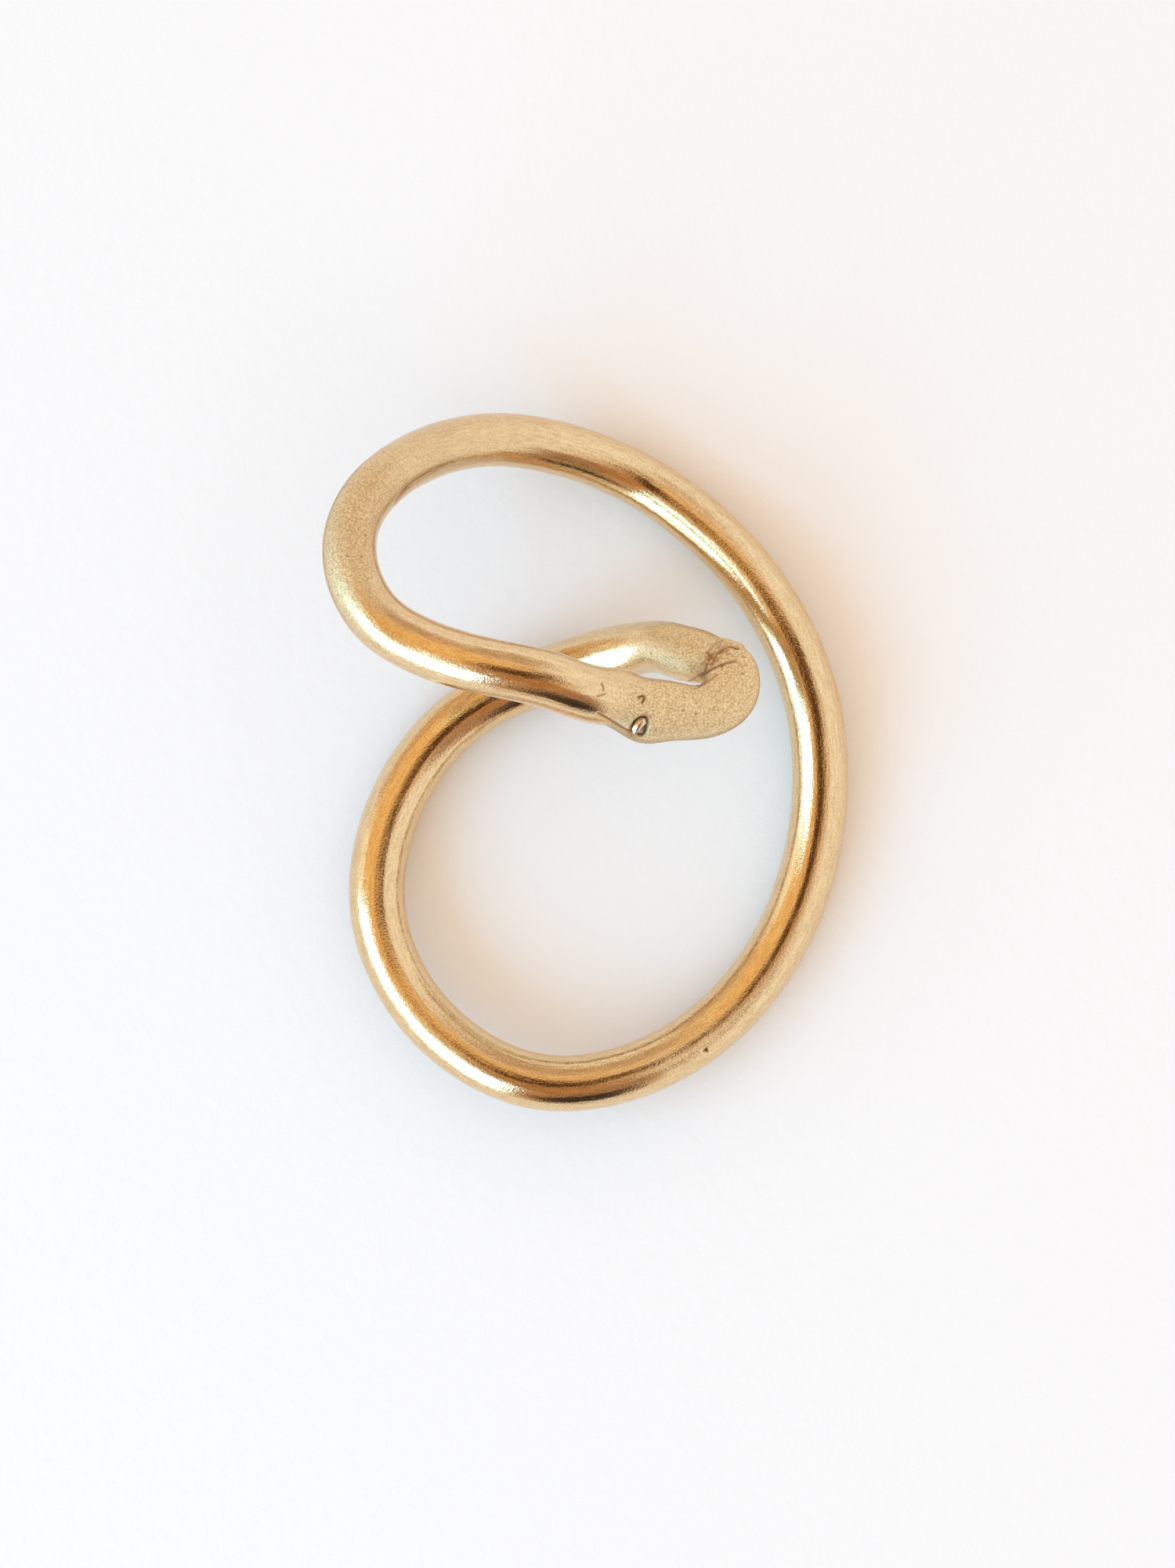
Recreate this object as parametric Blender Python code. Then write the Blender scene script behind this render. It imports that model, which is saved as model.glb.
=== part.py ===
"""Brass wire puzzle piece: one closed loop of round wire, bent by hand.

The large ring lies on the table. Its wire leaves the ring at the top, climbs round an oval lobe,
comes back high over the ring as the front strand and meets a short flattened hairpin link. The
link turns back down to the other end of the wire. Both meetings are filled with solder.

Frame: +X to the right, +Y towards the lobe, +Z up, origin under the middle of the object.
Run with: blender --background --python part.py
"""

import math

import bmesh
import bpy
import numpy as np
from mathutils import Vector

MM = 0.001

# Driving dimensions, in millimetres unless a name says otherwise
WIRE_DIAMETER = 2.5
LINK_WIDTH = 2.6
LINK_THICKNESS = 2.3
LINK_FLAT = 1.5
JOINT_GAP = 0.3
WIRE_STATION_SPACING = 1.0
LINK_STATION_SPACING = 0.55
WIRE_BEVEL_RESOLUTION = 4
BEAD_SIZE = (0.75, 0.5, 0.5)
SMOOTH_ANGLE = math.radians(40)
WELD_DISTANCE = 0.00001

# The wire's centre line from the rear seam, round the ring and the lobe, to the front seam.
# Each point is x, y, z in millimetres and the wire's local thickness over WIRE_DIAMETER.
WIRE_ROUTE = [
    (6.20, 3.76, 6.45, 0.93),
    (5.81, 4.28, 6.15, 0.93),
    (5.12, 4.62, 5.50, 0.94),
    (3.44, 5.02, 4.25, 0.96),
    (1.80, 4.89, 2.90, 0.97),
    (-0.25, 4.35, 1.80, 0.98),
    (-2.25, 3.67, 1.36, 1.00),
    (-4.25, 2.80, 1.26, 1.00),
    (-5.85, 1.70, 1.25, 1.00),
    (-7.25, 0.18, 1.25, 1.00),
    (-8.28, -1.52, 1.35, 1.00),
    (-9.20, -4.45, 1.65, 1.00),
    (-9.20, -7.00, 1.90, 1.00),
    (-8.38, -9.45, 2.15, 0.99),
    (-5.80, -12.53, 2.55, 1.00),
    (-2.10, -14.23, 2.70, 1.00),
    (1.90, -13.85, 2.35, 1.00),
    (5.35, -12.04, 1.60, 1.00),
    (8.05, -9.10, 1.27, 1.00),
    (9.05, -7.30, 1.25, 1.00),
    (9.90, -4.93, 1.28, 1.00),
    (10.45, -1.50, 1.40, 1.00),
    (10.15, 2.40, 1.60, 1.00),
    (8.72, 6.20, 1.65, 0.99),
    (6.34, 9.48, 1.45, 0.98),
    (4.15, 11.40, 1.27, 0.97),
    (2.92, 12.24, 1.25, 0.96),
    (-0.30, 13.67, 1.92, 0.96),
    (-2.25, 14.12, 2.65, 0.96),
    (-4.30, 14.21, 3.75, 0.95),
    (-6.30, 13.78, 5.20, 0.94),
    (-8.07, 12.87, 6.80, 0.93),
    (-9.49, 11.51, 8.10, 0.93),
    (-10.23, 9.62, 9.10, 0.94),
    (-9.95, 7.67, 9.70, 0.97),
    (-8.88, 6.04, 10.05, 0.99),
    (-7.18, 4.98, 10.35, 1.00),
    (-5.26, 4.31, 10.75, 1.00),
    (-3.29, 3.87, 10.90, 1.00),
    (-1.36, 3.40, 10.70, 1.01),
    (0.49, 2.83, 10.00, 1.01),
    (1.98, 2.31, 9.15, 1.01),
    (2.77, 2.20, 8.80, 1.01),
]

# The hairpin link's centre line from its rounded left end to the rear seam.
# The last number is the local width over LINK_WIDTH.
LINK_ROUTE = [
    (0.91, 2.46, 9.75, 0.25),
    (1.04, 2.44, 9.68, 0.55),
    (1.40, 2.38, 9.45, 0.85),
    (2.20, 2.22, 9.02, 1.04),
    (3.50, 2.11, 8.50, 1.04),
    (4.80, 2.17, 7.98, 0.97),
    (5.74, 2.42, 7.58, 0.92),
    (6.32, 2.91, 7.15, 0.89),
    (6.49, 3.51, 6.75, 0.87),
    (6.30, 4.07, 6.48, 0.86),
    (5.71, 4.49, 6.05, 0.86),
]
SEAM_ROUTE = LINK_ROUTE[-4:] + [(5.12, 4.61, 5.40, 0.86)]

# Seam planes: a point on the plane and the direction that the first piece faces
FRONT_SEAM_POINT = (1.68, 2.31, 9.30)
FRONT_SEAM_NORMAL = (0.75, -0.25, -0.61)
STRAND_SEAM_POINT = (5.71, 4.76, 6.20)
STRAND_SEAM_NORMAL = (0.71, -0.71, 0.10)
LINK_SEAM_POINT = (5.95, 4.01, 6.42)
LINK_SEAM_NORMAL = (-0.32, 0.95, -0.10)
CUT_WIDTH = 3.4
SEAM_CUT_WIDTH = 6.0
LINK_CUT_SHIFT = -0.6

BEAD_CENTRE = (2.43, 1.53, 9.82)
BEAD_TURN = math.radians(62)


def clear_scene():
    for existing in list(bpy.data.objects):
        bpy.data.objects.remove(existing, do_unlink=True)


def make_collection(name):
    collection = bpy.data.collections.new(name)
    bpy.context.scene.collection.children.link(collection)
    return collection


def make_brass(name, colour, roughness):
    material = bpy.data.materials.new(name)
    material.use_nodes = True
    shader = material.node_tree.nodes["Principled BSDF"]
    shader.inputs["Base Color"].default_value = (*colour, 1.0)
    shader.inputs["Metallic"].default_value = 1.0
    shader.inputs["Roughness"].default_value = roughness
    material.diffuse_color = (*colour, 1.0)
    return material


def second_derivatives(knots, values):
    """Second derivatives of the natural cubic spline through values at knots."""
    count = len(knots)
    step = np.diff(knots)
    slope = np.diff(values, axis=0) / step[:, None]
    matrix = np.eye(count)
    right = np.zeros((count, values.shape[1]))
    for i in range(1, count - 1):
        matrix[i, i - 1] = step[i - 1]
        matrix[i, i] = 2.0 * (step[i - 1] + step[i])
        matrix[i, i + 1] = step[i]
        right[i] = 6.0 * (slope[i] - slope[i - 1])
    return np.linalg.solve(matrix, right)


def smooth_stations(route, spacing):
    """Evenly spaced stations on the smooth curve through the route's points."""
    values = np.array(route, dtype=float)
    lengths = np.linalg.norm(np.diff(values[:, :3], axis=0), axis=1)
    knots = np.concatenate([[0.0], np.cumsum(lengths)])
    bend = second_derivatives(knots, values)
    count = int(round(knots[-1] / spacing)) + 1
    stations = []
    for along in np.linspace(0.0, knots[-1], count):
        i = min(int(np.searchsorted(knots, along, side="right")) - 1, len(knots) - 2)
        step = knots[i + 1] - knots[i]
        b = (along - knots[i]) / step
        a = 1.0 - b
        curve = ((a**3 - a) * bend[i] + (b**3 - b) * bend[i + 1]) * step**2 / 6.0
        stations.append(a * values[i] + b * values[i + 1] + curve)
    return stations


def curve_along(name, stations):
    """A POLY curve through the stations, whose point radius is the last number of each."""
    data = bpy.data.curves.new(name, "CURVE")
    data.dimensions = "3D"
    data.twist_mode = "Z_UP"
    data.use_fill_caps = True
    spline = data.splines.new("POLY")
    spline.points.add(len(stations) - 1)
    for point, (x, y, z, scale) in zip(spline.points, stations):
        point.co = (x * MM, y * MM, z * MM, 1.0)
        point.radius = scale
    return data


def flattened_profile(name, collection):
    """The hammered section of the link: an oval with a flat top and a flat bottom."""
    half_width = LINK_WIDTH / 2.0
    half_thickness = LINK_THICKNESS / 2.0
    half_flat = LINK_FLAT / 2.0
    side_steps = 6
    outline = []
    for side in (1, -1):
        for i in range(side_steps + 1):
            turn = math.pi * i / side_steps - math.pi / 2.0
            x = half_flat + (half_width - half_flat) * math.cos(turn)
            outline.append((side * x * MM, side * half_thickness * math.sin(turn) * MM))
    data = bpy.data.curves.new(name, "CURVE")
    data.dimensions = "2D"
    spline = data.splines.new("POLY")
    spline.points.add(len(outline) - 1)
    for point, (x, y) in zip(spline.points, outline):
        point.co = (x, y, 0.0, 1.0)
    spline.use_cyclic_u = True
    profile = bpy.data.objects.new(name, data)
    profile.hide_render = True
    profile.display_type = "WIRE"
    collection.objects.link(profile)
    return profile


def curve_to_mesh(name, data, collection, material):
    """Turn a curve into one welded mesh object in the collection."""
    guide = bpy.data.objects.new(name + "_curve", data)
    collection.objects.link(guide)
    bpy.context.view_layer.update()
    evaluated = guide.evaluated_get(bpy.context.evaluated_depsgraph_get())
    mesh = bpy.data.meshes.new_from_object(evaluated)
    placement = guide.matrix_world.copy()
    bpy.data.objects.remove(guide, do_unlink=True)
    work = bmesh.new()
    work.from_mesh(mesh)
    bmesh.ops.remove_doubles(work, verts=work.verts, dist=WELD_DISTANCE)
    bmesh.ops.recalc_face_normals(work, faces=work.faces)
    work.to_mesh(mesh)
    work.free()
    mesh.name = name
    mesh.materials.clear()
    mesh.materials.append(material)
    piece = bpy.data.objects.new(name, mesh)
    piece.matrix_world = placement
    collection.objects.link(piece)
    return piece


def cut_away(piece, cutter):
    """Take the cutter's volume out of the piece."""
    cut = piece.modifiers.new(cutter.name, "BOOLEAN")
    cut.operation = "DIFFERENCE"
    cut.solver = "EXACT"
    cut.object = cutter


def make_seam_cutter(name, collection, point, normal, width=CUT_WIDTH, sideways=0.0):
    """A cube whose near face lies on the seam plane and whose body lies beyond it."""
    mesh = bpy.data.meshes.new(name)
    work = bmesh.new()
    bmesh.ops.create_cube(work, size=width * MM)
    bmesh.ops.translate(work, vec=(width / 2.0 * MM, sideways * MM, 0.0), verts=work.verts)
    work.to_mesh(mesh)
    work.free()
    cutter = bpy.data.objects.new(name, mesh)
    cutter.location = Vector(point) * MM
    cutter.rotation_mode = "QUATERNION"
    cutter.rotation_quaternion = Vector(normal).to_track_quat("X", "Z")
    cutter.hide_render = True
    cutter.display_type = "WIRE"
    collection.objects.link(cutter)
    return cutter


def moved(point, normal, distance):
    """The point moved along the unit direction of normal."""
    return tuple(Vector(point) + Vector(normal).normalized() * distance)


def opposite(normal):
    return tuple(-value for value in normal)


def shade_round(piece):
    piece.data.shade_smooth()
    piece.data.set_sharp_from_angle(angle=SMOOTH_ANGLE)


def make_formed_wire(collection, material):
    """The long wire, cut back at both ends by its two seams."""
    data = curve_along("formed_wire", smooth_stations(WIRE_ROUTE, WIRE_STATION_SPACING))
    data.bevel_depth = WIRE_DIAMETER / 2.0 * MM
    data.bevel_resolution = WIRE_BEVEL_RESOLUTION
    return curve_to_mesh("formed_wire", data, collection, material)


def make_hairpin(name, route, collection, profile, material):
    """A length of the flattened hairpin, before it is trimmed."""
    data = curve_along(name, smooth_stations(route, LINK_STATION_SPACING))
    data.bevel_mode = "OBJECT"
    data.bevel_object = profile
    return curve_to_mesh(name, data, collection, material)


def make_bead(name, collection, size):
    """An oval bead at the front seam, with its length, width and height in size."""
    mesh = bpy.data.meshes.new(name)
    work = bmesh.new()
    bmesh.ops.create_uvsphere(work, u_segments=16, v_segments=8, radius=0.5 * MM)
    bmesh.ops.scale(work, vec=size, verts=work.verts)
    work.to_mesh(mesh)
    work.free()
    bead = bpy.data.objects.new(name, mesh)
    bead.location = Vector(BEAD_CENTRE) * MM
    bead.rotation_euler = (0.0, 0.0, BEAD_TURN)
    collection.objects.link(bead)
    return bead


def rest_on_origin(pieces, guides):
    """Move everything together so that the middle of the pieces' base is at the origin."""
    bpy.context.view_layer.update()
    corners = [piece.matrix_world @ vertex.co for piece in pieces for vertex in piece.data.vertices]
    low = Vector([min(corner[axis] for corner in corners) for axis in range(3)])
    high = Vector([max(corner[axis] for corner in corners) for axis in range(3)])
    offset = Vector(((low.x + high.x) / 2.0, (low.y + high.y) / 2.0, low.z))
    for mover in pieces + guides:
        mover.location -= offset


def build():
    clear_scene()
    parts = make_collection("wire_ring_puzzle_piece")
    guides = make_collection("guides")
    satin_brass = make_brass("satin_brass", (0.78, 0.55, 0.30), 0.28)
    worked_brass = make_brass("worked_brass", (0.74, 0.56, 0.36), 0.45)
    solder = make_brass("brass_solder", (0.66, 0.46, 0.28), 0.40)
    profile = flattened_profile("link_profile", guides)

    half_gap = JOINT_GAP / 2.0
    strand_face = moved(FRONT_SEAM_POINT, FRONT_SEAM_NORMAL, -half_gap)
    link_face = moved(FRONT_SEAM_POINT, FRONT_SEAM_NORMAL, half_gap)
    strand_end = moved(STRAND_SEAM_POINT, STRAND_SEAM_NORMAL, -JOINT_GAP)
    link_end = moved(LINK_SEAM_POINT, LINK_SEAM_NORMAL, -JOINT_GAP)
    to_strand = opposite(FRONT_SEAM_NORMAL)
    from_strand = opposite(STRAND_SEAM_NORMAL)
    from_link = opposite(LINK_SEAM_NORMAL)
    wide = SEAM_CUT_WIDTH
    shift = LINK_CUT_SHIFT
    cutters = {
        "strand_face": make_seam_cutter("strand_face", guides, strand_face, FRONT_SEAM_NORMAL),
        "link_face": make_seam_cutter("link_face", guides, link_face, to_strand),
        "strand_end": make_seam_cutter("strand_end", guides, strand_end, STRAND_SEAM_NORMAL),
        "link_end": make_seam_cutter(
            "link_end", guides, link_end, LINK_SEAM_NORMAL, sideways=shift
        ),
        "seam_back": make_seam_cutter("seam_back", guides, STRAND_SEAM_POINT, from_strand, wide),
        "seam_front": make_seam_cutter("seam_front", guides, LINK_SEAM_POINT, from_link, wide),
        "pit": make_bead("pit", guides, tuple(size + 2.0 * JOINT_GAP for size in BEAD_SIZE)),
    }
    cutters["pit"].hide_render = True
    cutters["pit"].display_type = "WIRE"

    wire = make_formed_wire(parts, satin_brass)
    link = make_hairpin("hairpin_link", LINK_ROUTE, parts, profile, worked_brass)
    seam = make_hairpin("rear_solder", SEAM_ROUTE, parts, profile, solder)
    bead = make_bead("front_solder", parts, BEAD_SIZE)
    bead.data.materials.append(solder)
    for name in ("strand_face", "strand_end", "pit"):
        cut_away(wire, cutters[name])
    for name in ("link_face", "link_end", "pit"):
        cut_away(link, cutters[name])
    for name in ("seam_back", "seam_front"):
        cut_away(seam, cutters[name])

    pieces = [wire, link, seam, bead]
    for piece in pieces:
        shade_round(piece)
    rest_on_origin(pieces, list(cutters.values()))


build()
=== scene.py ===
"""Looks for the brass wire puzzle piece: its polished and worked surfaces, floor, light and camera.

The whole loop is one smooth surface, swept along two edge rails. It is parted at the real seams
into the formed wire, the hairpin link and the rear solder, and each part stands for its CAD node.
The front solder is a bead of its own in a hollow of the link.
"""

import math

import bmesh
import bpy
import numpy as np
from mathutils import Matrix, Vector, noise


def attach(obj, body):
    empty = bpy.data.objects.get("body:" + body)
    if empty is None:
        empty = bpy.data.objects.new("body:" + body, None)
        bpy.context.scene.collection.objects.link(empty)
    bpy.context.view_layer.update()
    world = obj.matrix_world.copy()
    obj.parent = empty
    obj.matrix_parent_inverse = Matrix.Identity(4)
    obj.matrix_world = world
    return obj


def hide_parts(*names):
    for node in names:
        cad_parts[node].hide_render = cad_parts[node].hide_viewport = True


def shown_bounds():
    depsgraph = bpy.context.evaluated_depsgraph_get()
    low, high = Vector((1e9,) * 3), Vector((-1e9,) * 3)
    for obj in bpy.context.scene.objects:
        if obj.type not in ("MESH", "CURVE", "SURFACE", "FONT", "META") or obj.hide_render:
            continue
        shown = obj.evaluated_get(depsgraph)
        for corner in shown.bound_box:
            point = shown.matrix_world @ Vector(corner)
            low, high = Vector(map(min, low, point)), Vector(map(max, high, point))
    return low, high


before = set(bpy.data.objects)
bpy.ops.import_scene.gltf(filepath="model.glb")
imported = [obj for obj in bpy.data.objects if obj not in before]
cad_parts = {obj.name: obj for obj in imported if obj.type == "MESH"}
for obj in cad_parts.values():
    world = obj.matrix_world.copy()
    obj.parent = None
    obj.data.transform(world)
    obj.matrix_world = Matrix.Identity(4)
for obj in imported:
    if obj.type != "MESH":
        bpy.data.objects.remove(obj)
cad_low, cad_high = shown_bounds()

MM = 0.001
# Points round a section, the distance between sections on the wire and where it is worked, and
# the wire's radius, in mm
SIDES = 144
WIRE_SPACING = 0.3
FINE_SPACING = 0.04
WIRE_RADIUS = 1.25

# The wire's centre line from the rear seam, round the ring and the lobe, to the front seam:
# x, y, z, thickness over the wire's own, matte (0 is polished, 1 is grainy)
WIRE_ROWS = [
    (3.44, 5.02, 4.25, 0.935, 0.40),
    (1.80, 4.89, 2.90, 0.97, 0.18),
    (-0.25, 4.35, 1.80, 0.98, 0.10),
    (-2.25, 3.67, 1.36, 1.00, 0.05),
    (-4.25, 2.80, 1.26, 1.00, 0.05),
    (-5.85, 1.70, 1.25, 1.00, 0.05),
    (-7.25, 0.18, 1.25, 1.00, 0.10),
    (-8.28, -1.52, 1.35, 1.00, 0.10),
    (-9.20, -4.45, 1.65, 1.00, 0.05),
    (-9.20, -7.00, 1.90, 1.00, 0.05),
    (-8.38, -9.45, 2.15, 0.99, 0.05),
    (-5.80, -12.53, 2.55, 1.00, 0.05),
    (-2.10, -14.23, 2.70, 1.00, 0.05),
    (1.90, -13.85, 2.35, 1.00, 0.10),
    (5.35, -12.04, 1.60, 1.00, 0.30),
    (8.05, -9.10, 1.27, 1.00, 0.20),
    (9.05, -7.30, 1.25, 1.00, 0.15),
    (9.90, -4.93, 1.28, 1.00, 0.10),
    (10.45, -1.50, 1.40, 1.00, 0.05),
    (10.15, 2.40, 1.60, 1.00, 0.05),
    (8.72, 6.20, 1.65, 0.99, 0.05),
    (6.34, 9.48, 1.45, 0.98, 0.10),
    (4.15, 11.40, 1.27, 0.97, 0.10),
    (2.92, 12.24, 1.25, 0.96, 0.10),
    (-0.30, 13.67, 1.92, 0.96, 0.10),
    (-2.25, 14.12, 2.65, 0.96, 0.20),
    (-4.30, 14.21, 3.75, 0.95, 0.25),
    (-6.30, 13.78, 5.20, 0.94, 0.25),
    (-8.07, 12.87, 6.80, 0.93, 0.36),
    (-9.49, 11.51, 8.10, 0.93, 0.60),
    (-10.23, 9.62, 9.10, 0.94, 0.80),
    (-9.95, 7.67, 9.70, 0.97, 0.66),
    (-8.88, 6.04, 10.05, 0.99, 0.34),
    (-7.18, 4.98, 10.35, 1.00, 0.10),
    (-5.26, 4.31, 10.75, 1.00, 0.05),
    (-3.29, 3.87, 10.90, 1.00, 0.05),
    (-1.36, 3.40, 10.70, 1.01, 0.10),
    (0.49, 2.83, 10.00, 1.01, 0.30),
]

# The hairpin's two edges seen from above, from the front seam round the bend to the strand:
# inner x, y, outer x, y, height of the middle, half thickness, squareness of the section, matte
LINK_ROWS = [
    (1.78, 3.94, 1.09, 1.42, 9.42, 1.26, 2.0, 0.70),
    (2.40, 3.67, 2.20, 0.82, 8.98, 1.22, 2.2, 1.00),
    (3.46, 3.51, 3.50, 0.83, 8.50, 1.20, 2.4, 1.00),
    (4.53, 3.30, 4.77, 0.92, 8.02, 1.18, 2.4, 1.00),
    (4.98, 3.33, 5.90, 1.14, 7.72, 1.16, 2.4, 1.00),
    (5.15, 3.47, 6.93, 1.76, 7.42, 1.15, 2.4, 1.00),
    (5.22, 3.58, 7.49, 2.59, 7.15, 1.14, 2.4, 1.00),
    (5.27, 3.69, 7.64, 3.37, 6.93, 1.12, 2.4, 1.00),
    (5.27, 3.76, 7.48, 4.24, 6.73, 1.11, 2.4, 1.00),
    (5.26, 3.76, 7.16, 4.72, 6.56, 1.10, 2.3, 1.00),
    (5.24, 3.69, 6.65, 5.17, 6.42, 1.10, 2.2, 1.00),
    (5.17, 3.58, 6.20, 5.31, 6.26, 1.10, 2.1, 0.95),
    (5.01, 3.43, 5.80, 5.48, 6.02, 1.13, 2.0, 0.88),
    (4.53, 3.45, 5.20, 5.76, 5.62, 1.16, 2.0, 0.80),
    (3.99, 3.58, 4.60, 5.93, 5.12, 1.18, 2.0, 0.62),
]
# Squareness of a round section, and from where on a section counts as hammered flat
ROUND = 2.0
HAMMERED = 2.2
# Rows of the hairpin where the real seams cross it
FRONT_SEAM_ROW = 1.4
REAR_SEAM_LINK_ROW = 8.6
REAR_SEAM_STRAND_ROW = 11.0
# The wire row after which a deep pit needs a fine mesh
PITTED_ROW = 13

# Marks on the upper side, all but the last on the hairpin: plan points and half width in mm,
# rise in mm (a groove is below 0) and brownness from 0 to 1; the brown round the bead's hollow and
# beside the two ridges is painted shade
MARKS = [
    ([(0.55, 2.02), (1.20, 1.66), (1.72, 1.34), (2.08, 1.12)], 0.045, -0.070, 0.75),
    # Painted shade: this mark's brown is the dark crescent round the bead's hollow
    ([(2.08, 1.14), (2.34, 1.00), (2.57, 1.12), (2.68, 1.45), (2.64, 1.84)], 0.065, -0.050, 1.00),
    ([(2.31, 2.72), (2.46, 2.82), (2.57, 2.76), (2.53, 2.60), (2.45, 2.51)], 0.055, -0.060, 0.85),
    ([(0.70, 3.31), (0.78, 3.14), (0.76, 3.02)], 0.040, -0.040, 0.65),
    ([(0.51, 2.76), (0.66, 2.80), (0.81, 2.86)], 0.040, -0.040, 0.65),
    ([(6.90, 5.02), (6.38, 5.18), (5.91, 5.05), (5.52, 4.70), (5.33, 4.22)], 0.065, 0.090, 0.0),
    ([(4.86, 3.36), (5.22, 3.61), (5.65, 3.91), (6.08, 4.08), (6.55, 4.21)], 0.065, 0.095, 0.0),
    # Painted shade: the brown of the next grooves darkens the sides of the two ridges
    ([(6.72, 4.90), (6.35, 5.01), (5.98, 4.89), (5.68, 4.60), (5.52, 4.20)], 0.052, -0.045, 0.62),
    ([(5.86, 5.24), (5.55, 5.02), (5.32, 4.66), (5.16, 4.20)], 0.045, -0.030, 0.45),
    ([(5.06, 3.70), (5.60, 4.08), (6.05, 4.25), (6.58, 4.36)], 0.052, -0.045, 0.66),
    ([(4.92, 3.22), (5.32, 3.46), (5.75, 3.77)], 0.040, -0.030, 0.40),
    ([(4.37, 3.44), (4.80, 3.62), (5.15, 3.84)], 0.050, -0.035, 0.55),
    ([(5.30, 4.75), (5.42, 4.55), (5.40, 4.36)], 0.050, -0.040, 0.75),
    ([(-8.52, 10.38), (-8.31, 11.23), (-7.80, 12.02), (-6.72, 12.73)], 0.060, -0.040, 0.50),
]
# Small pits, all but the last on the hairpin: plan centre, radius in mm and brownness
PITS = [
    (4.70, 1.76, 0.050, 0.35),
    (5.56, 2.28, 0.050, 0.45),
    (4.66, 1.51, 0.045, 0.25),
    (6.58, 4.92, 0.060, 0.80),
    (6.84, 3.81, 0.055, 0.60),
    (6.92, 4.54, 0.040, 0.50),
    (5.39, 4.63, 0.065, 0.80),
    (5.95, 4.16, 0.080, 0.85),
    (5.44, 4.42, 0.055, 0.70),
    (5.82, 4.98, 0.050, 0.60),
    (5.31, -12.85, 0.085, 0.85),
]
PIT_DEPTH = 0.06
# Tarnish on the lobe, without depth: plan centre, radius in mm and brownness
TARNISH = [
    (-3.00, 14.10, 2.2, 0.07),
    (-6.30, 13.80, 2.6, 0.10),
    (-9.00, 12.00, 2.6, 0.10),
    (-10.20, 9.60, 2.6, 0.10),
    (-9.40, 6.80, 2.2, 0.08),
]
# No mark reaches further than this from its middle to the middle of a section it touches, in mm
MARK_REACH = 4.0
# Marks fade out where the surface turns down: 1 over the rise of its direction where they are full
UPPER_SIDE_FADE = 4.0
# The hollow that holds the front solder's bead, darkened with painted shade, and the brown wedge of
# the rear solder
HOLLOW_CENTRE = (2.37, 1.47)
HOLLOW_SIZE = (0.52, 0.31)
HOLLOW_TURN = math.radians(52)
HOLLOW_DEPTH = 0.30
HOLLOW_SHADE = 0.95
WEDGE_RUN = [(5.45, 4.30), (5.72, 4.72), (6.05, 4.85)]
WEDGE_HALF_WIDTH = 0.30
WEDGE_DEPTH = 0.05
# The wedge's lumps per mm, its brownness, how far that falls on the lumps and the most it reaches
WEDGE_GRAIN = 7.0
WEDGE_BROWN = 0.34
WEDGE_CONTRAST = 0.9
WEDGE_MOST_BROWN = 0.7
BEAD_CENTRE = (2.34, 1.51, 9.97)
BEAD_SIZE = (0.43, 0.21, 0.20)
BEAD_TAPER = 0.22
BEAD_BEND = 0.22

# Finish of hand-bent drawn wire: how much of the matte the inner edge has lost, between which
# shares of the half width it is lost, and the height and length of waves and drawing lines in mm
INSIDE_POLISH = 0.75
INSIDE_START = 0.60
INSIDE_FULL = 0.92
WAVE_HEIGHT = 0.014
WAVE_LENGTH = 1.7
LINE_HEIGHT = 0.006
LINES_PER_RADIUS = 8.0
LINE_LENGTH = 6.0


def closed_curve_bends(knots, values):
    """Second derivatives of the closed cubic spline through values at knots (one more knot)."""
    count = len(values)
    step = np.diff(knots)
    slope = (np.roll(values, -1, axis=0) - values) / step[:, None]
    matrix = np.zeros((count, count))
    right = np.zeros_like(values)
    for i in range(count):
        before = step[i - 1]
        matrix[i, i - 1] += before
        matrix[i, i] += 2.0 * (before + step[i])
        matrix[i, (i + 1) % count] += step[i]
        right[i] = 6.0 * (slope[i] - slope[i - 1])
    return np.linalg.solve(matrix, right)


class ClosedCurve:
    """A smooth closed curve through rows of numbers, read by row number and share."""

    def __init__(self, places, values):
        gaps = np.linalg.norm(np.roll(places, -1, axis=0) - places, axis=1)
        self.knots = np.concatenate([[0.0], np.cumsum(gaps)])
        self.values = values
        self.bends = closed_curve_bends(self.knots, values)

    def at(self, row):
        """The values at a fractional row number, and their slope along the curve."""
        i = int(math.floor(row)) % len(self.values)
        j = (i + 1) % len(self.values)
        step = self.knots[i + 1] - self.knots[i]
        b = row - math.floor(row)
        a = 1.0 - b
        low, high = self.bends[i], self.bends[j]
        value = a * self.values[i] + b * self.values[j]
        value = value + ((a**3 - a) * low + (b**3 - b) * high) * step**2 / 6.0
        slope = (self.values[j] - self.values[i]) / step
        slope = slope + ((3 * b**2 - 1) * high - (3 * a**2 - 1) * low) * step / 6.0
        return value, slope

    def length_at(self, row):
        i = int(math.floor(row))
        laps, i = divmod(i, len(self.values))
        b = row - math.floor(row)
        return laps * self.knots[-1] + self.knots[i] + b * (self.knots[i + 1] - self.knots[i])


def make_rails():
    """The loop's two edge rails, with its height, half thickness, squareness and mattness."""
    wire = np.array(WIRE_ROWS)
    link = np.array(LINK_ROWS)
    link_middle = np.column_stack([(link[:, 0:2] + link[:, 2:4]) / 2.0, link[:, 4]])
    middle = np.concatenate([wire[:, 0:3], link_middle])
    centre_line = ClosedCurve(middle, middle)
    rows = []
    for i, (x, y, z, thickness, matte) in enumerate(WIRE_ROWS):
        _, slope = centre_line.at(i)
        across = np.array([-slope[1], slope[0]]) / np.hypot(slope[0], slope[1])
        radius = WIRE_RADIUS * thickness
        inner = np.array([x, y]) + across * radius
        outer = np.array([x, y]) - across * radius
        rows.append([*inner, *outer, z, radius, ROUND, matte])
    rows.extend(LINK_ROWS)
    return ClosedCurve(middle, np.array(rows, dtype=float))


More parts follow.
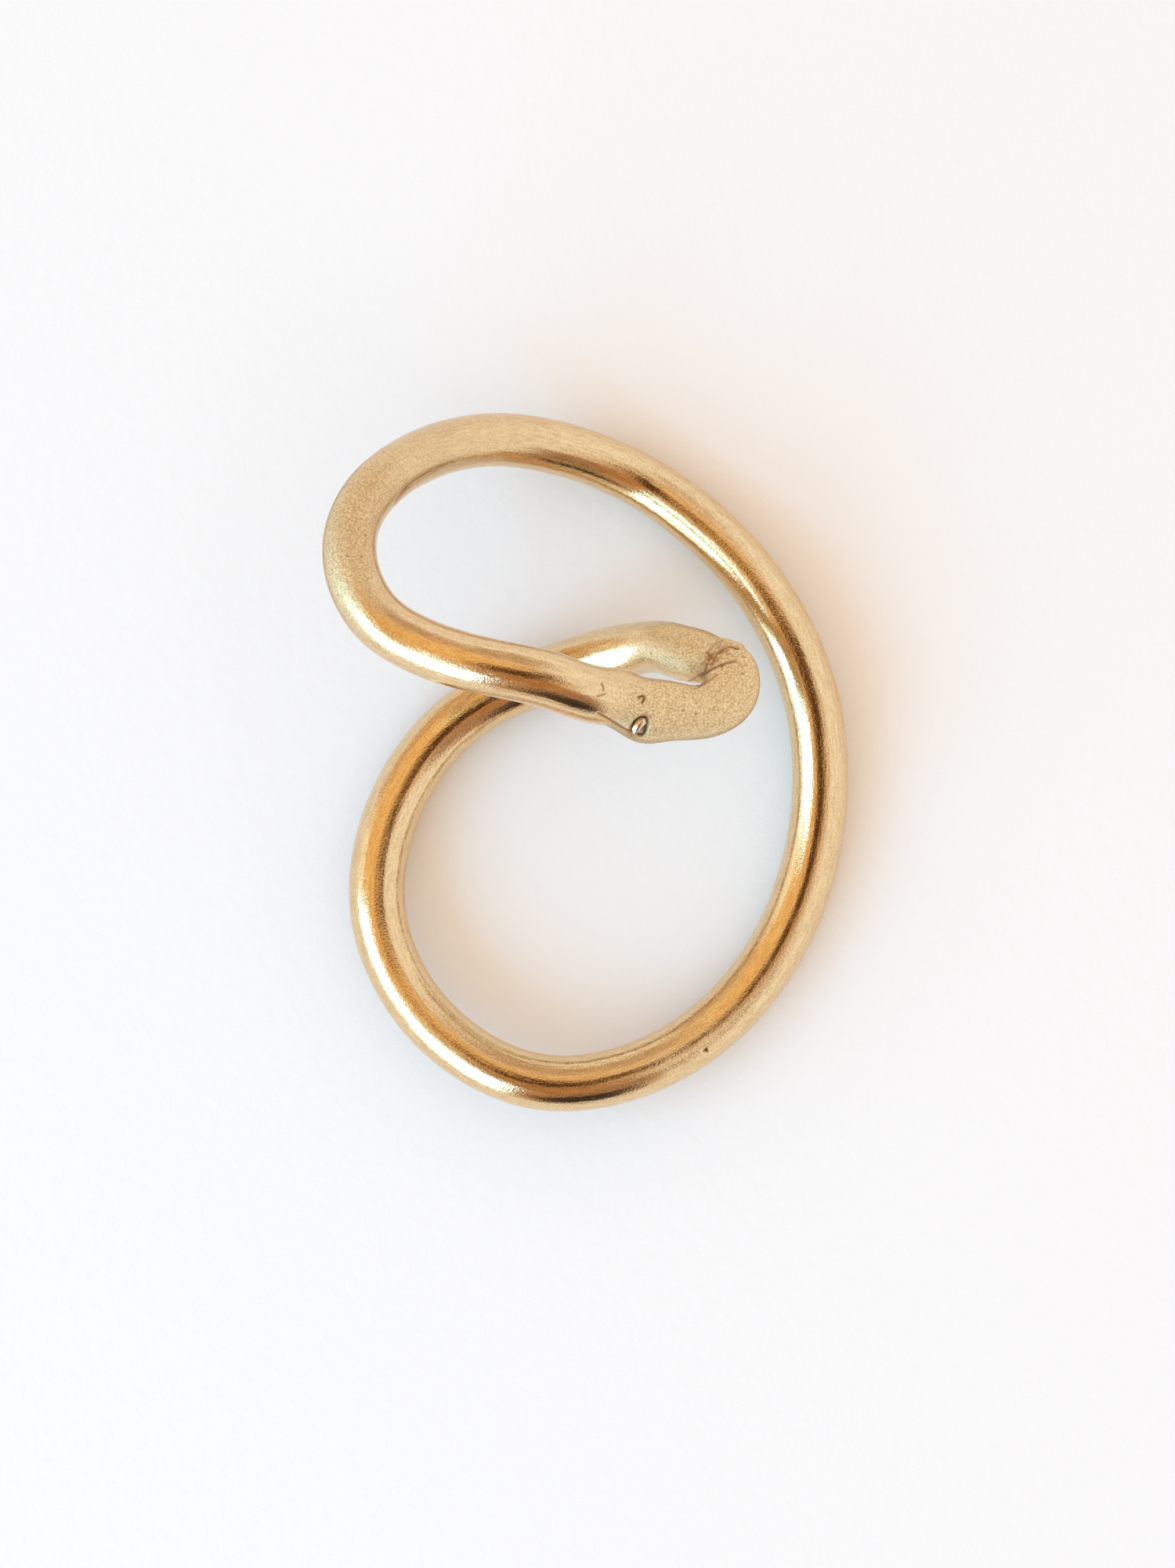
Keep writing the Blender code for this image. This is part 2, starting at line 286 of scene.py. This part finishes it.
RAILS = make_rails()
LINK_START = len(WIRE_ROWS)
ROW_COUNT = LINK_START + len(LINK_ROWS)
FRONT_SEAM = LINK_START + FRONT_SEAM_ROW
REAR_SEAM_LINK = LINK_START + REAR_SEAM_LINK_ROW
REAR_SEAM_STRAND = LINK_START + REAR_SEAM_STRAND_ROW


def stations(start, end):
    """Fractional row numbers from start to end, close together round the hairpin."""
    marks = [start] + [float(i) for i in range(math.floor(start) + 1, math.ceil(end))] + [end]
    rows = []
    for low, high in zip(marks, marks[1:]):
        length = RAILS.length_at(high) - RAILS.length_at(low)
        i = math.floor(low) % ROW_COUNT
        fine = i >= LINK_START - 2 or i == PITTED_ROW
        spacing = FINE_SPACING if fine else WIRE_SPACING
        count = max(1, round(length / spacing))
        rows.extend(low + (high - low) * k / count for k in range(count))
    return rows + [end]


def section(row):
    """Points, outward directions and mattness round the section at a fractional row number."""
    value, slope = RAILS.at(row)
    inner = np.array([value[0], value[1], value[4]])
    outer = np.array([value[2], value[3], value[4]])
    across = outer - inner
    half_width = np.linalg.norm(across) / 2.0
    across = across / np.linalg.norm(across)
    forward = np.array([slope[0] + slope[2], slope[1] + slope[3], 2.0 * slope[4]])
    forward = forward - across * forward.dot(across)
    up = np.cross(across, forward)
    up = up / np.linalg.norm(up)
    turn = np.linspace(0.0, 2.0 * math.pi, SIDES, endpoint=False)
    power = 2.0 / value[6]
    side = np.sign(np.cos(turn)) * np.abs(np.cos(turn)) ** power
    rise = np.sign(np.sin(turn)) * np.abs(np.sin(turn)) ** power
    middle = (inner + outer) / 2.0
    points = middle + half_width * side[:, None] * across + value[5] * rise[:, None] * up
    power = 2.0 - power
    out = (
        np.sign(side)[:, None] * np.abs(side[:, None]) ** power / half_width * across
        + np.sign(rise)[:, None] * np.abs(rise[:, None]) ** power / value[5] * up
    )
    out = out / np.linalg.norm(out, axis=1)[:, None]
    hammered = np.clip((value[6] - ROUND) / (HAMMERED - ROUND), 0.0, 1.0)
    inside = (-np.cos(turn) - INSIDE_START) / (INSIDE_FULL - INSIDE_START)
    inside = np.clip(inside, 0.0, 1.0) * (1.0 - hammered)
    matte = np.clip(value[7], 0.0, 1.0) * (1.0 - INSIDE_POLISH * inside)
    return points, out, matte, np.column_stack([np.cos(turn), np.sin(turn)])


def rounded(run):
    """The run of points with its corners cut twice, so that it bends smoothly."""
    points = np.array(run)
    for _ in range(2):
        before = 0.75 * points[:-1] + 0.25 * points[1:]
        after = 0.25 * points[:-1] + 0.75 * points[1:]
        middle = np.stack([before, after], axis=1).reshape(-1, 2)
        points = np.concatenate([points[:1], middle, points[-1:]])
    return points


def distance_to_run(plan, run):
    """Distance from each plan point to a run of straight pieces."""
    nearest = np.full(len(plan), np.inf)
    for start, end in zip(run, run[1:]):
        along = end - start
        share = np.clip((plan - start) @ along / (along @ along), 0.0, 1.0)
        gap = plan - start - share[:, None] * along
        nearest = np.minimum(nearest, np.hypot(gap[:, 0], gap[:, 1]))
    return nearest


def noise_at(points, scale):
    """Smooth noise from -1 to 1 at each point."""
    return np.array([noise.noise(Vector(point) * scale) for point in points])


ROUNDED_MARKS = [(rounded(run), *rest) for run, *rest in MARKS]
ROUNDED_WEDGE = rounded(WEDGE_RUN)


def surface_marks(points, out):
    """Rise of the marks above the smooth surface in mm, and their brownness, part of which is
    painted shade.
    """
    plan = points[:, :2]
    rise = np.zeros(len(plan))
    brown = np.zeros(len(plan))
    for run, half_width, height, stain_and_shade in ROUNDED_MARKS:
        if np.linalg.norm(run.mean(axis=0) - plan.mean(axis=0)) > MARK_REACH:
            continue
        share = np.exp(-((distance_to_run(plan, run) / half_width) ** 2))
        rise += height * share
        brown = np.maximum(brown, stain_and_shade * share)
    for x, y, radius, stain_and_shade in PITS:
        share = np.exp(-(((plan[:, 0] - x) ** 2 + (plan[:, 1] - y) ** 2) / radius**2))
        rise -= PIT_DEPTH * share
        brown = np.maximum(brown, stain_and_shade * share)
    for x, y, radius, stain_and_shade in TARNISH:
        share = np.exp(-(((plan[:, 0] - x) ** 2 + (plan[:, 1] - y) ** 2) / radius**2))
        brown = np.maximum(brown, stain_and_shade * share)
    # The hollow round the bead: a dip whose brown is painted shade
    cosine, sine = math.cos(HOLLOW_TURN), math.sin(HOLLOW_TURN)
    local = (plan - HOLLOW_CENTRE) @ np.array([[cosine, -sine], [sine, cosine]]) / HOLLOW_SIZE
    share = np.exp(-((local**2).sum(axis=1) ** 2))
    rise -= HOLLOW_DEPTH * share
    brown = np.maximum(brown, HOLLOW_SHADE * share)
    share = np.exp(-((distance_to_run(plan, ROUNDED_WEDGE) / WEDGE_HALF_WIDTH) ** 2))
    if share.max() > 0.01:
        rough = noise_at(points, WEDGE_GRAIN)
        rise += WEDGE_DEPTH * share * rough
        browner = np.clip(WEDGE_BROWN - WEDGE_CONTRAST * rough, 0.0, WEDGE_MOST_BROWN)
        brown = np.maximum(brown, share * browner)
    upper = np.clip(out[:, 2] * UPPER_SIDE_FADE, 0.0, 1.0)
    return rise * upper, brown * upper


def wire_waves(points, along, around):
    """Unevenness of the wire in mm: long waves and fine lines along it."""
    waves = WAVE_HEIGHT * noise_at(points, 1.0 / WAVE_LENGTH)
    along_lines = np.full(len(around), along / LINE_LENGTH)
    lines = np.column_stack([around * LINES_PER_RADIUS, along_lines])
    return waves + LINE_HEIGHT * noise_at(lines, 1.0)


def sweep(name, start, end):
    """The loop's surface between two fractional row numbers, as a closed mesh object."""
    rows = stations(start, end)
    points, mattness, stains_and_shade, places = [], [], [], []
    for row in rows:
        ring, out, matte, around = section(row)
        along = RAILS.length_at(row) % RAILS.length_at(ROW_COUNT)
        rise, brown = surface_marks(ring, out)
        rise = rise + wire_waves(ring, along, around)
        points.append(ring + rise[:, None] * out)
        mattness.extend(matte)
        stains_and_shade.extend(brown)
        places.extend((along, c, s) for c, s in around)
    faces = []
    for i in range(len(rows) - 1):
        for k in range(SIDES):
            n = (k + 1) % SIDES
            a, b = i * SIDES, (i + 1) * SIDES
            faces.append((a + k, a + n, b + n, b + k))
    last = (len(rows) - 1) * SIDES
    faces.append(tuple(reversed(range(SIDES))))
    faces.append(tuple(last + k for k in range(SIDES)))
    mesh = bpy.data.meshes.new(name)
    mesh.from_pydata([tuple(p * MM) for ring in points for p in ring], [], faces)
    for label, values in (("matte", mattness), ("stain_and_shade", stains_and_shade)):
        layer = mesh.attributes.new(label, "FLOAT", "POINT")
        layer.data.foreach_set("value", np.array(values, dtype=np.float32))
    place = mesh.attributes.new("place", "FLOAT_VECTOR", "POINT")
    place.data.foreach_set("vector", np.array(places, dtype=np.float32).ravel())
    work = bmesh.new()
    work.from_mesh(mesh)
    bmesh.ops.recalc_face_normals(work, faces=work.faces)
    work.to_mesh(mesh)
    work.free()
    mesh.shade_smooth()
    mesh.set_sharp_from_angle(angle=math.radians(60))
    piece = bpy.data.objects.new(name, mesh)
    bpy.context.scene.collection.objects.link(piece)
    return piece


def make_bead(name):
    """The solder's bead: a small bent drop with an uneven skin."""
    work = bmesh.new()
    bmesh.ops.create_icosphere(work, subdivisions=5, radius=1.0)
    for vertex in work.verts:
        x, y, z = vertex.co
        swell = 1.0 + 0.10 * noise.noise(vertex.co * 1.6) + 0.03 * noise.noise(vertex.co * 5.0)
        taper = 1.0 + BEAD_TAPER * x
        bend = BEAD_BEND * (1.0 - x * x)
        place = Vector((x, (y * taper + bend), z * taper)) * swell
        vertex.co = Vector(place[i] * BEAD_SIZE[i] for i in range(3))
    turn = Matrix.Rotation(HOLLOW_TURN, 4, "Z")
    bmesh.ops.transform(work, matrix=Matrix.Translation(BEAD_CENTRE) @ turn, verts=work.verts)
    bmesh.ops.scale(work, vec=(MM, MM, MM), verts=work.verts)
    mesh = bpy.data.meshes.new(name)
    work.to_mesh(mesh)
    work.free()
    mesh.shade_smooth()
    piece = bpy.data.objects.new(name, mesh)
    bpy.context.scene.collection.objects.link(piece)
    return piece


def object_bounds(objects):
    corners = np.array([v.co for o in objects for v in o.data.vertices])
    return Vector(corners.min(axis=0)), Vector(corners.max(axis=0))


wire = sweep("formed_wire_surface", REAR_SEAM_STRAND - ROW_COUNT, FRONT_SEAM)
wedge = sweep("rear_solder_surface", REAR_SEAM_LINK, REAR_SEAM_STRAND)
link = sweep("hairpin_link_surface", FRONT_SEAM, REAR_SEAM_LINK)
bead = make_bead("front_solder_surface")
pieces = [wire, wedge, link, bead]

low, high = object_bounds(pieces)
offset = (cad_low + cad_high) / 2.0 - (low + high) / 2.0
offset.z = cad_low.z - low.z
for piece in pieces:
    piece.data.transform(Matrix.Translation(offset))
replaced_nodes = ("formed_wire", "rear_solder", "hairpin_link", "front_solder")
for piece, node_name in zip(pieces, replaced_nodes):
    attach(piece, "root")
    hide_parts(node_name)

# The camera looks straight down: its place over the table and its lens, in mm
CAMERA_PLACE = (0.0874, -1.014, 300.0)
SENSOR_WIDTH = 36.0
LENS = 205.06
camera_data = bpy.data.cameras.new("camera")
camera = bpy.data.objects.new("camera", camera_data)
bpy.context.scene.collection.objects.link(camera)
camera.location = Vector(CAMERA_PLACE) * MM + offset
camera_data.sensor_fit = "HORIZONTAL"
camera_data.sensor_width = SENSOR_WIDTH
camera_data.lens = LENS
camera_data.clip_start = 0.01
bpy.context.scene.camera = camera

# Fineness of the metal's patterns per metre, and of its streaks: per half width of the wire
# across it, and stretched along it
GRAIN_SCALE = 10500.0
CLOUD_SCALE = 800.0
PIT_SCALE = 1900.0
STREAK_SCALE = 11.0
STREAK_STRETCH = (0.14, 1.0, 1.0)
# Linear colours of the metal: polished, between its streaks, worn, its bright grains, painted shade
# on its worn sides, and the solder, and the rust and soil of its marks, which also paint shade in
# the bead's hollow and beside the ridges
BRASS = (0.885, 0.665, 0.40)
DEEP_BRASS = (0.70, 0.49, 0.255)
WORN_BRASS = (0.58, 0.41, 0.20)
PALE_BRASS = (0.90, 0.72, 0.445)
SHADED_RIM_BRASS = (0.38, 0.20, 0.08)
SOLDER = (0.86, 0.79, 0.66)
DULL_SOLDER = (0.62, 0.52, 0.38)
RUST_AND_SHADE = (0.34, 0.145, 0.045)
SOIL_AND_SHADE = (0.05, 0.028, 0.014)
BRASS_ROUGHNESS = 0.07
SOLDER_ROUGHNESS = 0.16


def node(tree, kind, **settings):
    made = tree.nodes.new(kind)
    for name, value in settings.items():
        setattr(made, name, value)
    return made


def map_range(tree, source, low, high, to_low, to_high, smooth=False):
    """A clamped change of range, as an output socket."""
    made = node(tree, "ShaderNodeMapRange")
    if smooth:
        made.interpolation_type = "SMOOTHSTEP"
    tree.links.new(source, made.inputs["Value"])
    names = ("From Min", "From Max", "To Min", "To Max")
    for name, value in zip(names, (low, high, to_low, to_high)):
        made.inputs[name].default_value = value
    return made.outputs["Result"]


def maths(tree, operation, first, second):
    """A maths node on two sockets or numbers, as an output socket."""
    made = node(tree, "ShaderNodeMath", operation=operation)
    for socket, value in zip(made.inputs, (first, second)):
        if isinstance(value, bpy.types.NodeSocket):
            tree.links.new(value, socket)
        else:
            socket.default_value = value
    return made.outputs["Value"]


def mix_colour(tree, factor, first, second):
    """A colour mix whose inputs are sockets or plain colours, as an output socket."""
    made = node(tree, "ShaderNodeMix", data_type="RGBA")
    tree.links.new(factor, made.inputs["Factor"])
    for socket, value in ((made.inputs[6], first), (made.inputs[7], second)):
        if isinstance(value, bpy.types.NodeSocket):
            tree.links.new(value, socket)
        else:
            socket.default_value = (*value, 1.0)
    return made.outputs[2]


def noise_texture(tree, place, scale, detail, roughness=0.5):
    """A noise pattern's height from 0 to 1 at the place, as an output socket."""
    made = node(tree, "ShaderNodeTexNoise")
    tree.links.new(place, made.inputs["Vector"])
    made.inputs["Scale"].default_value = scale
    made.inputs["Detail"].default_value = detail
    made.inputs["Roughness"].default_value = roughness
    return made.outputs["Fac"]


def bump(tree, height, strength, distance, normal=None):
    """A bump whose strength is a socket or a number and whose distance is in metres."""
    made = node(tree, "ShaderNodeBump")
    made.inputs["Distance"].default_value = distance
    tree.links.new(height, made.inputs["Height"])
    if isinstance(strength, bpy.types.NodeSocket):
        tree.links.new(strength, made.inputs["Strength"])
    else:
        made.inputs["Strength"].default_value = strength
    if normal is not None:
        tree.links.new(normal, made.inputs["Normal"])
    return made.outputs["Normal"]


def attribute(tree, name):
    return node(tree, "ShaderNodeAttribute", attribute_name=name)


def make_metal(name, polish, bright, deep):
    """Metal that goes from polished and streaked to grainy with the mesh's matte attribute."""
    material = bpy.data.materials.new(name)
    material.use_nodes = True
    tree = material.node_tree
    shader = tree.nodes["Principled BSDF"]
    body = node(tree, "ShaderNodeTexCoord").outputs["Object"]
    matte = attribute(tree, "matte").outputs["Fac"]
    stain_and_shade = attribute(tree, "stain_and_shade").outputs["Fac"]
    along_wire = node(tree, "ShaderNodeVectorMath", operation="MULTIPLY")
    tree.links.new(attribute(tree, "place").outputs["Vector"], along_wire.inputs[0])
    along_wire.inputs[1].default_value = STREAK_STRETCH

    grain = noise_texture(tree, body, GRAIN_SCALE, 2.0, 0.6)
    cloud = noise_texture(tree, body, CLOUD_SCALE, 3.0)
    streak = noise_texture(tree, along_wire.outputs["Vector"], STREAK_SCALE, 3.0, 0.6)
    sides = node(tree, "ShaderNodeSeparateXYZ")
    tree.links.new(attribute(tree, "place").outputs["Vector"], sides.inputs[0])
    uneven = maths(tree, "ADD", matte, map_range(tree, cloud, 0.3, 0.7, -0.10, 0.10))
    worn = map_range(tree, uneven, 0.15, 0.80, 0.0, 1.0, smooth=True)
    cells = node(tree, "ShaderNodeTexVoronoi")
    tree.links.new(body, cells.inputs["Vector"])
    cells.inputs["Scale"].default_value = PIT_SCALE
    pits = map_range(tree, cells.outputs["Distance"], 0.07, 0.17, 1.0, 0.0, smooth=True)
    pits = maths(tree, "MULTIPLY", pits, map_range(tree, cloud, 0.52, 0.58, 0.0, 1.0))
    pits = maths(tree, "MULTIPLY", pits, worn)

    drawn = maths(tree, "ADD", streak, grain)
    polished = mix_colour(tree, map_range(tree, drawn, 0.80, 1.20, 0.0, 1.0), deep, bright)
    grainy = mix_colour(tree, map_range(tree, grain, 0.36, 0.64, 0.0, 1.0), WORN_BRASS, PALE_BRASS)
    colour = mix_colour(tree, worn, polished, grainy)
    # Painted shade: worn metal darkens towards the sides of each section, a dark outline seen from
    # above
    rim_shade = maths(tree, "ABSOLUTE", sides.outputs["Y"], 0.0)
    rim_shade = map_range(tree, rim_shade, 0.82, 1.0, 0.0, 0.62, smooth=True)
    colour = mix_colour(tree, maths(tree, "MULTIPLY", rim_shade, worn), colour, SHADED_RIM_BRASS)
    # The marks' brown, from rust to soil: real marks and pits, and painted shade in the bead's
    # hollow and beside the ridges
    soil_and_shade = maths(tree, "MAXIMUM", stain_and_shade, maths(tree, "MULTIPLY", pits, 0.45))
    colour = mix_colour(tree, map_range(tree, soil_and_shade, 0.0, 0.6, 0.0, 0.9), colour, RUST_AND_SHADE)
    colour = mix_colour(tree, map_range(tree, soil_and_shade, 0.6, 1.0, 0.0, 1.0), colour, SOIL_AND_SHADE)
    tree.links.new(colour, shader.inputs["Base Color"])

    tree.links.new(map_range(tree, worn, 0.0, 1.0, 1.0, 0.50), shader.inputs["Metallic"])
    rough = map_range(tree, worn, 0.0, 1.0, polish, 0.46)
    rough = maths(tree, "ADD", rough, map_range(tree, streak, 0.35, 0.75, 0.0, 0.05))
    rough = maths(tree, "ADD", rough, maths(tree, "MULTIPLY", soil_and_shade, 0.25))
    tree.links.new(rough, shader.inputs["Roughness"])

    grain_strength = map_range(tree, worn, 0.0, 1.0, 0.26, 0.75)
    normal = bump(tree, grain, grain_strength, 0.000035)
    normal = bump(tree, streak, 0.35, 0.000020, normal)
    pitted = node(tree, "ShaderNodeBump", invert=True)
    pitted.inputs["Strength"].default_value = 0.8
    pitted.inputs["Distance"].default_value = 0.00004
    tree.links.new(pits, pitted.inputs["Height"])
    tree.links.new(normal, pitted.inputs["Normal"])
    tree.links.new(pitted.outputs["Normal"], shader.inputs["Normal"])
    return material


brass = make_metal("drawn_brass", BRASS_ROUGHNESS, BRASS, DEEP_BRASS)
solder = make_metal("solder_brass", SOLDER_ROUGHNESS, SOLDER, DULL_SOLDER)
for piece in pieces:
    piece.data.materials.append(solder if piece is bead else brass)

# Stage: the paper, and the two soft lights that reach it through the window
PAPER = (0.88, 0.885, 0.89)
FIBRE_SCALE = 1400.0
LIGHT_COLOUR = (0.12, 0.57, 1.0)
LIGHT_DISTANCE = 0.6
LIGHT_STRENGTH = 3.45


def direction(azimuth, elevation):
    """Unit vector: azimuth turns from +X towards +Y, elevation rises from the floor."""
    a, e = math.radians(azimuth), math.radians(elevation)
    return Vector((math.cos(e) * math.cos(a), math.cos(e) * math.sin(a), math.sin(e)))


def make_floor():
    mesh = bpy.data.meshes.new("floor")
    work = bmesh.new()
    bmesh.ops.create_grid(work, x_segments=8, y_segments=8, size=2.0)
    work.to_mesh(mesh)
    work.free()
    floor = bpy.data.objects.new("floor", mesh)
    floor.location.z = cad_low.z
    bpy.context.scene.collection.objects.link(floor)
    paper = bpy.data.materials.new("paper")
    paper.use_nodes = True
    shader = paper.node_tree.nodes["Principled BSDF"]
    shader.inputs["Base Color"].default_value = (*PAPER, 1.0)
    shader.inputs["Roughness"].default_value = 0.9
    shader.inputs["Specular IOR Level"].default_value = 0.1
    place = node(paper.node_tree, "ShaderNodeTexCoord").outputs["Object"]
    fibres = noise_texture(paper.node_tree, place, FIBRE_SCALE, 4.0, 0.6)
    paper.node_tree.links.new(bump(paper.node_tree, fibres, 0.25, 0.00012), shader.inputs["Normal"])
    mesh.materials.append(paper)
    return floor


def make_window(name, azimuth, elevation, width, height):
    """A soft light on the paper, sized in degrees; its reflection is the room's window."""
    data = bpy.data.lights.new(name, "AREA")
    data.shape = "RECTANGLE"
    data.size = 2.0 * LIGHT_DISTANCE * math.tan(math.radians(width / 2.0))
    data.size_y = 2.0 * LIGHT_DISTANCE * math.tan(math.radians(height / 2.0))
    data.energy = LIGHT_STRENGTH * math.pi * data.size * data.size_y
    data.color = LIGHT_COLOUR
    lamp = bpy.data.objects.new(name, data)
    lamp.visible_glossy = False
    lamp.location = direction(azimuth, elevation) * LIGHT_DISTANCE
    lamp.rotation_euler = direction(azimuth, elevation).to_track_quat("Z", "Y").to_euler()
    bpy.context.scene.collection.objects.link(lamp)
    return lamp


# Soft patches of the room: azimuth, elevation, full radius, outer radius, colour
ROOM_PATCHES = [
    (135, 48, 22, 48, (1.02, 0.70, 0.33)),
    (130, 10, 10, 32, (0.76, 0.52, 0.30)),
    (165, 20, 6, 16, (1.15, 1.15, 1.00)),
    (80, 36, 6, 26, (0.66, 0.48, 0.34)),
    (275, 34, 18, 44, (0.60, 0.37, 0.24)),
    (300, 45, 8, 26, (0.46, 0.29, 0.20)),
    (276, 64, 8, 25, (0.52, 0.27, 0.12)),
    (281, 20, 11, 25, (0.06, 0.045, 0.04)),
    (270, 85, 8, 22, (0.50, 0.30, 0.15)),
    (16, 72, 5, 11, (0.14, 0.075, 0.035)),
    (286, 85, 6, 14, (0.10, 0.045, 0.02)),
]
ROOM_LOW = (1.04, 1.03, 1.00)
ROOM_HIGH = (0.74, 0.50, 0.29)
ROOM_FILL = (1.05, 0.85, 0.68)
WINDOW_GLOW = (1.9, 3.6, 4.8)
BACKDROP = (0.90, 0.91, 0.93)
# The room turns from ROOM_LOW to ROOM_HIGH between these sines of the elevation
ROOM_RISE = (0.74, 0.97)
# The reflected window, in degrees round from the left: its two ends, its bar, its soft edges and
# the bar's half width; then the sines of the elevation where its sill and its top fade, and how
# much of the window's light the bar has
WINDOW_NEAR, WINDOW_FAR, WINDOW_BAR = -5, 70, 31
WINDOW_SOFT, BAR_WIDTH = 3, 2
WINDOW_SILL = (0.14, 0.20)
WINDOW_TOP = (0.78, 0.83)
BAR_SHARE = 0.25


def window_share(tree, height):
    """How much of the window a direction sees: two panes to the left with a bar between them."""
    turn = node(tree, "ShaderNodeMath", operation="ARCTAN2")
    for source, socket in zip(("Y", "X"), turn.inputs):
        tree.links.new(maths(tree, "MULTIPLY", height.outputs[source], -1.0), socket)
    turn = turn.outputs["Value"]
    near, far, bar = (math.radians(a) for a in (WINDOW_NEAR, WINDOW_FAR, WINDOW_BAR))
    soft, bar_width = math.radians(WINDOW_SOFT), math.radians(BAR_WIDTH)
    rise = height.outputs["Z"]
    share = map_range(tree, turn, near, near + soft, 0.0, 1.0, smooth=True)
    far_edge = map_range(tree, turn, far - soft, far, 1.0, 0.0, smooth=True)
    share = maths(tree, "MULTIPLY", share, far_edge)
    from_bar = maths(tree, "ABSOLUTE", maths(tree, "SUBTRACT", turn, bar), 0.0)
    panes = map_range(tree, from_bar, bar_width, bar_width + soft, BAR_SHARE, 1.0, smooth=True)
    share = maths(tree, "MULTIPLY", share, panes)
    share = maths(tree, "MULTIPLY", share, map_range(tree, rise, *WINDOW_SILL, 0.0, 1.0))
    return maths(tree, "MULTIPLY", share, map_range(tree, rise, *WINDOW_TOP, 1.0, 0.0))


def make_room():
    """The room: in reflections bright near the floor and brown overhead, elsewhere one fill."""
    world = bpy.data.worlds.new("room")
    bpy.context.scene.world = world
    world.use_nodes = True
    tree = world.node_tree
    background = tree.nodes["Background"]
    place = node(tree, "ShaderNodeTexCoord").outputs["Generated"]
    height = node(tree, "ShaderNodeSeparateXYZ")
    tree.links.new(place, height.inputs[0])
    rise = map_range(tree, height.outputs["Z"], *ROOM_RISE, 0.0, 1.0, smooth=True)
    colour = mix_colour(tree, rise, ROOM_LOW, ROOM_HIGH)
    for azimuth, elevation, inner, outer, patch in ROOM_PATCHES:
        facing = node(tree, "ShaderNodeVectorMath", operation="DOT_PRODUCT")
        tree.links.new(place, facing.inputs[0])
        facing.inputs[1].default_value = direction(azimuth, elevation)
        near = math.cos(math.radians(inner))
        far = math.cos(math.radians(outer))
        share = map_range(tree, facing.outputs["Value"], far, near, 0.0, 1.0, smooth=True)
        colour = mix_colour(tree, share, colour, patch)
    colour = mix_colour(tree, window_share(tree, height), colour, WINDOW_GLOW)
    rays = node(tree, "ShaderNodeLightPath")
    colour = mix_colour(tree, rays.outputs["Is Glossy Ray"], ROOM_FILL, colour)
    colour = mix_colour(tree, rays.outputs["Is Camera Ray"], colour, BACKDROP)
    tree.links.new(colour, background.inputs["Color"])
    world.cycles.sampling_method = "NONE"


make_floor()
make_window("window_left", 188, 31, 32, 38)
make_window("window_near", 232, 29, 34, 40)
make_room()
bpy.context.scene.view_settings.view_transform = "Standard"
